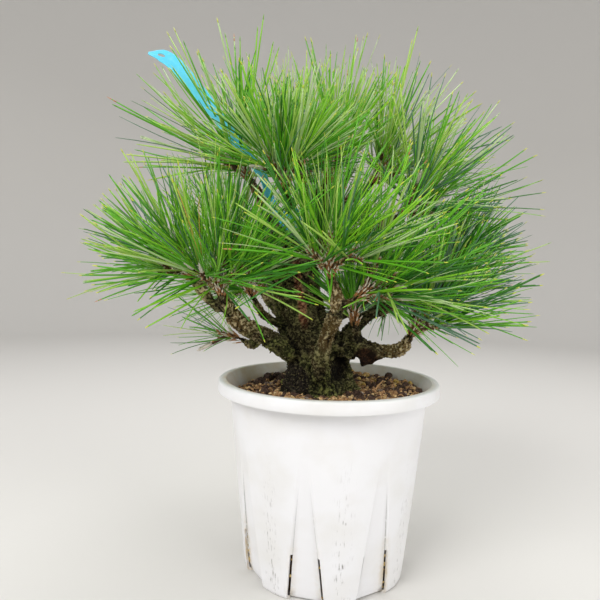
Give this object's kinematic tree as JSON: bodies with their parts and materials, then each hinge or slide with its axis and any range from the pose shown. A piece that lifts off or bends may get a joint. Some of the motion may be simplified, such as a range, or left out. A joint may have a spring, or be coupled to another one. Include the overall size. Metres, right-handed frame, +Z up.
{
  "type": "japanese black pine bonsai",
  "caption": "Young Japanese black pine bonsai with thick corky bark and long stiff needles, in a white round slit-sided nursery pot with soil and a blue plastic plant tag.",
  "frame": {"origin": "middle of the pot's flat underside", "axes": "+Z up along the pot's axis, -Y towards the viewer of the picture, +X to the right"},
  "size_m": [0.3078, 0.2699, 0.3639],
  "materials": {
    "pot": "white moulded polypropylene, satin, lightly scuffed",
    "soil": "moist brown potting grit",
    "bark": "rough corky bark with moss",
    "needles": "waxy green needles",
    "tag": "blue polyethylene strip, satin"
  },
  "bodies": {
    "root": {"pot": "pot", "soil": "soil", "trunk": "bark", "plant_tag": "tag", "bough_front": "bark", "twig_front_right": "bark", "bough_left": "bark", "twig_left_outer": "bark", "twig_left_inner": "bark", "twig_left_low": "bark", "bough_right": "bark", "twig_right_inner": "bark", "bough_right_back": "bark", "twig_right_low": "bark", "bough_right_middle": "bark", "bough_upper_left": "bark", "twig_upper_front": "bark", "bough_top_right": "bark", "bough_left_back": "bark", "bough_back_left": "bark", "bough_back": "bark", "bough_back_right": "bark", "bough_back_high": "bark", "needles_front": "needles", "needles_front_right": "needles", "needles_left_front": "needles", "needles_left_outer": "needles", "needles_left_inner": "needles", "needles_left_low": "needles", "needles_right": "needles", "needles_right_inner": "needles", "needles_right_low": "needles", "needles_right_outer": "needles", "needles_right_middle": "needles", "needles_upper_left": "needles", "needles_upper_front": "needles", "needles_top": "needles", "needles_top_right": "needles", "needles_left_back": "needles", "needles_back_left": "needles", "needles_back": "needles", "needles_back_right": "needles", "needles_back_high": "needles"}
  },
  "joints": []
}
